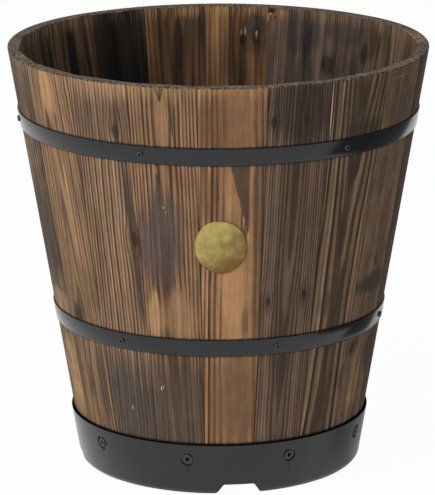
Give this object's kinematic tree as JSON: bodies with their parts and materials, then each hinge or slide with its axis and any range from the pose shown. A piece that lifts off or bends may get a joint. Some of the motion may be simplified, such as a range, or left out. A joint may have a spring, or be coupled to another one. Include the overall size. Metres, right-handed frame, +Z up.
{
  "type": "stave barrel planter",
  "caption": "Tapered barrel planter of burnt wooden staves held by two black steel hoops, standing in a black moulded base ring with drain notches, with a small brass plate on the front.",
  "frame": {"origin": "on the ground, on the planter's axis", "axes": "+Z up along the axis; -Y is the front, the side with the brass plate; +X is to the right seen from the front"},
  "size_m": [0.4974, 0.4974, 0.505],
  "materials": {
    "burnt_wood": "burnt and brushed softwood, oiled, matt",
    "hoop_steel": "satin black paint on steel strip",
    "screw_steel": "black coated steel",
    "moulded_plastic": "satin black moulded plastic",
    "brass": "aged satin brass"
  },
  "bodies": {
    "root": {"base_ring": "moulded_plastic", "base_screws": "screw_steel", "brass_plate": "brass", "floor_board_1": "burnt_wood", "floor_board_2": "burnt_wood", "floor_board_3": "burnt_wood", "floor_board_4": "burnt_wood", "floor_board_5": "burnt_wood", "lower_hoop": "hoop_steel", "lower_hoop_screws": "screw_steel", "plate_pins": "brass", "stave_01": "burnt_wood", "stave_02": "burnt_wood", "stave_03": "burnt_wood", "stave_04": "burnt_wood", "stave_05": "burnt_wood", "stave_06": "burnt_wood", "stave_07": "burnt_wood", "stave_08": "burnt_wood", "stave_09": "burnt_wood", "stave_10": "burnt_wood", "stave_11": "burnt_wood", "stave_12": "burnt_wood", "stave_13": "burnt_wood", "stave_14": "burnt_wood", "stave_15": "burnt_wood", "stave_16": "burnt_wood", "stave_17": "burnt_wood", "stave_18": "burnt_wood", "stave_19": "burnt_wood", "upper_hoop": "hoop_steel", "upper_hoop_screws": "screw_steel"}
  },
  "joints": []
}
